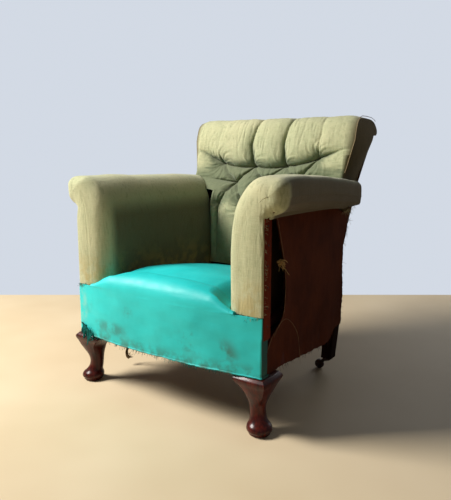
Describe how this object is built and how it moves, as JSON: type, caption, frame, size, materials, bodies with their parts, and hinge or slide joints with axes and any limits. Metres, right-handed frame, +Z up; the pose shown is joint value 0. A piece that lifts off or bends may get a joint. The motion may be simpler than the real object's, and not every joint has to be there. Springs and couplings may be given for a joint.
{
  "type": "armchair",
  "caption": "Low club armchair with a deep-buttoned rolled back, scrolled arms, sprung seat, cabriole front legs and castored rear legs, worn and torn at one side.",
  "frame": {"origin": "middle of the outer box in plan, on the floor", "axes": "+X to the sitter's left, the viewer's right from the front; +Y towards the back; +Z up; the chair faces -Y"},
  "size_m": [0.7768, 0.8, 0.835],
  "materials": {
    "mahogany": "dark polished mahogany, glossy with worn edges",
    "frame_wood": "rough red-brown frame timber with tack holes",
    "green_cloth": "faded sage-green cotton cloth, wrinkled and soiled",
    "turquoise_leathercloth": "smooth turquoise leathercloth with brown smudges and a frayed hem",
    "brown_lining": "coarse dark red-brown lining cloth, torn and frayed",
    "hessian": "open brown hessian",
    "webbing": "dark jute webbing",
    "straw": "pale straw stuffing",
    "spring_steel": "dull spring wire with light rust",
    "dark_iron": "blackened iron with worn edges"
  },
  "bodies": {
    "chair": {"arm_board_left": "frame_wood", "arm_board_right": "frame_wood", "arm_canvas_left": "hessian", "arm_canvas_right": "hessian", "arm_pad_left": "green_cloth", "arm_pad_right": "green_cloth", "arm_stuffing_rail_left": "frame_wood", "arm_stuffing_rail_right": "frame_wood", "back_button_11": "green_cloth", "back_button_12": "green_cloth", "back_button_13": "green_cloth", "back_button_14": "green_cloth", "back_button_21": "green_cloth", "back_button_22": "green_cloth", "back_button_23": "green_cloth", "back_button_31": "green_cloth", "back_button_32": "green_cloth", "back_button_33": "green_cloth", "back_button_34": "green_cloth", "back_canvas": "hessian", "back_lining": "brown_lining", "back_pad": "green_cloth", "back_rail": "frame_wood", "back_stuffing_rail": "frame_wood", "castor_plate_left": "dark_iron", "castor_plate_right": "dark_iron", "crest_rail": "frame_wood", "front_leg_left": "mahogany", "front_leg_right": "mahogany", "front_post_left": "frame_wood", "front_post_right": "frame_wood", "front_rail": "frame_wood", "hanging_webbing": "webbing", "outer_lining_left": "brown_lining", "outer_lining_right": "brown_lining", "rear_post_left": "mahogany", "rear_post_right": "mahogany", "seat_canvas": "hessian", "seat_cover": "turquoise_leathercloth", "seat_spring_11": "spring_steel", "seat_spring_12": "spring_steel", "seat_spring_13": "spring_steel", "seat_spring_21": "spring_steel", "seat_spring_22": "spring_steel", "seat_spring_23": "spring_steel", "seat_spring_31": "spring_steel", "seat_spring_32": "spring_steel", "seat_spring_33": "spring_steel", "seat_stuffing": "straw", "seat_webbing": "webbing", "side_rail_left": "frame_wood", "side_rail_right": "frame_wood", "straw_tuft": "straw"},
    "castor_left": {"castor_horn_left": "dark_iron", "castor_pin_left": "dark_iron"},
    "wheel_left": {"castor_wheel_left": "dark_iron"},
    "castor_right": {"castor_horn_right": "dark_iron", "castor_pin_right": "dark_iron"},
    "wheel_right": {"castor_wheel_right": "dark_iron"}
  },
  "joints": [
    {"name": "castor_swivel_left", "type": "hinge", "parent": "chair", "child": "castor_left", "pos_m": [-0.27248, 0.1574, 0.038], "axis": [0, 0, 1], "continuous": true},
    {"name": "wheel_spin_left", "type": "hinge", "parent": "castor_left", "child": "wheel_left", "pos_m": [-0.24248, 0.1574, 0.0155], "axis": [0, 1, 0], "continuous": true},
    {"name": "castor_swivel_right", "type": "hinge", "parent": "chair", "child": "castor_right", "pos_m": [0.27248, 0.1574, 0.038], "axis": [0, 0, 1], "continuous": true},
    {"name": "wheel_spin_right", "type": "hinge", "parent": "castor_right", "child": "wheel_right", "pos_m": [0.24248, 0.1574, 0.0155], "axis": [0, 1, 0], "continuous": true}
  ]
}
